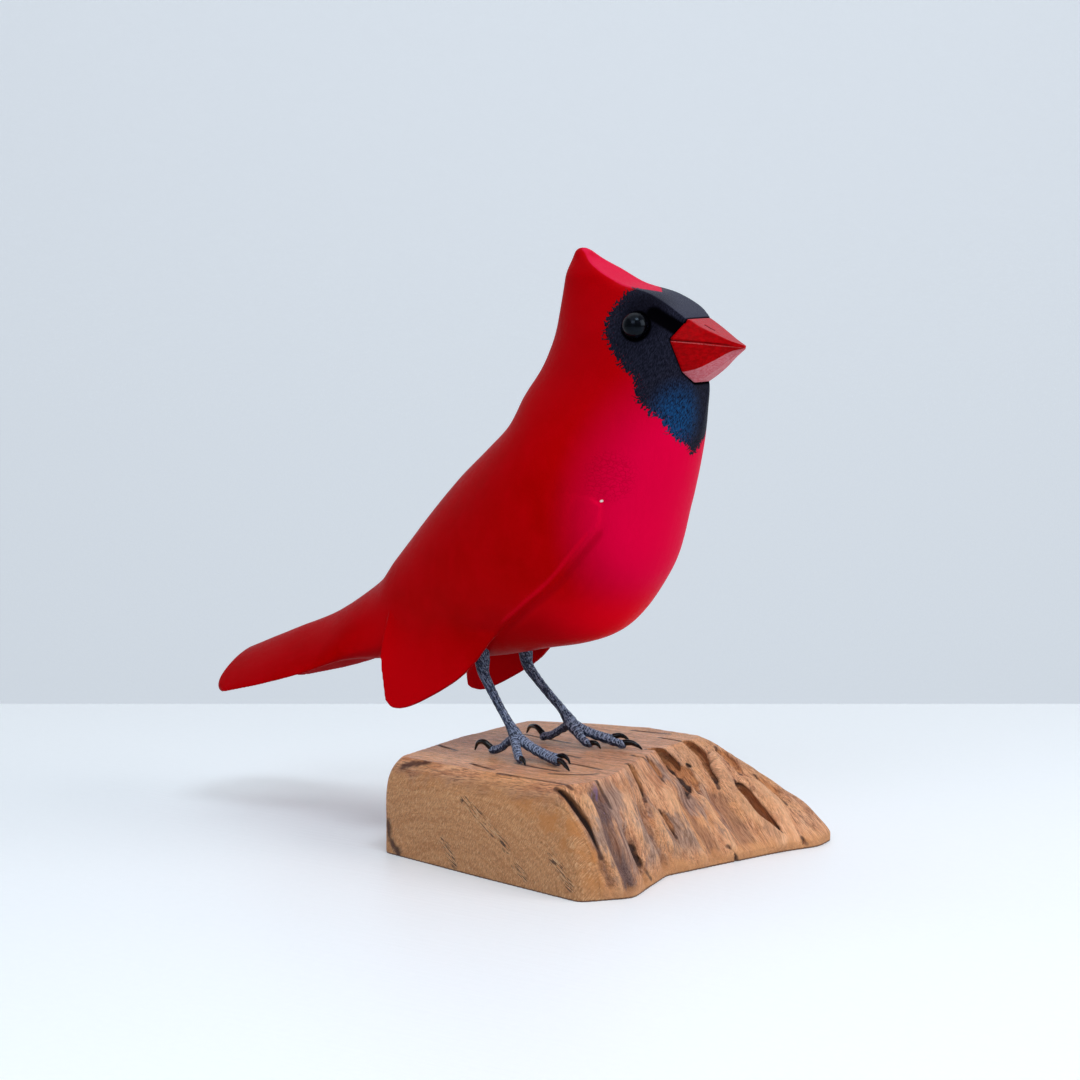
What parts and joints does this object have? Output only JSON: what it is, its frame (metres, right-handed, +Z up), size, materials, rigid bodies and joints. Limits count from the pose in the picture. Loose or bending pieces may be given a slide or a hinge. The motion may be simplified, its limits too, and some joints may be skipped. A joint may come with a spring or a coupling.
{
  "type": "carved wooden northern cardinal figure on a wood block",
  "caption": "Carved and painted wooden northern cardinal that stands on cast metal legs on a natural wood block with a live edge.",
  "frame": {"origin": "on the flat underside of the wood block, below the middle of the bird", "axes": "+Z up, +X the way the bird looks, +Y its left side"},
  "size_m": [0.1819, 0.1063, 0.1745],
  "materials": {
    "base_wood": "bare sawn and weathered wood, lightly waxed",
    "red_paint": "smooth carved wood with satin red paint and a black painted mask",
    "bill_paint": "faceted carved wood with satin red paint",
    "bead_glass": "opaque black glass bead, polished",
    "leg_metal": "cast metal with blue-grey paint and a dark wash",
    "claw_paint": "cast metal with gloss black paint"
  },
  "bodies": {
    "root": {"wood_block": "base_wood", "torso": "red_paint", "head": "red_paint", "tail": "red_paint", "wing_left": "red_paint", "wing_right": "red_paint", "bill_upper": "bill_paint", "bill_lower": "bill_paint", "eye_left": "bead_glass", "eye_right": "bead_glass", "leg_left": "leg_metal", "leg_right": "leg_metal", "claw_left_middle": "claw_paint", "claw_left_inner": "claw_paint", "claw_left_outer": "claw_paint", "claw_left_hind": "claw_paint", "claw_right_middle": "claw_paint", "claw_right_inner": "claw_paint", "claw_right_outer": "claw_paint", "claw_right_hind": "claw_paint"}
  },
  "joints": []
}
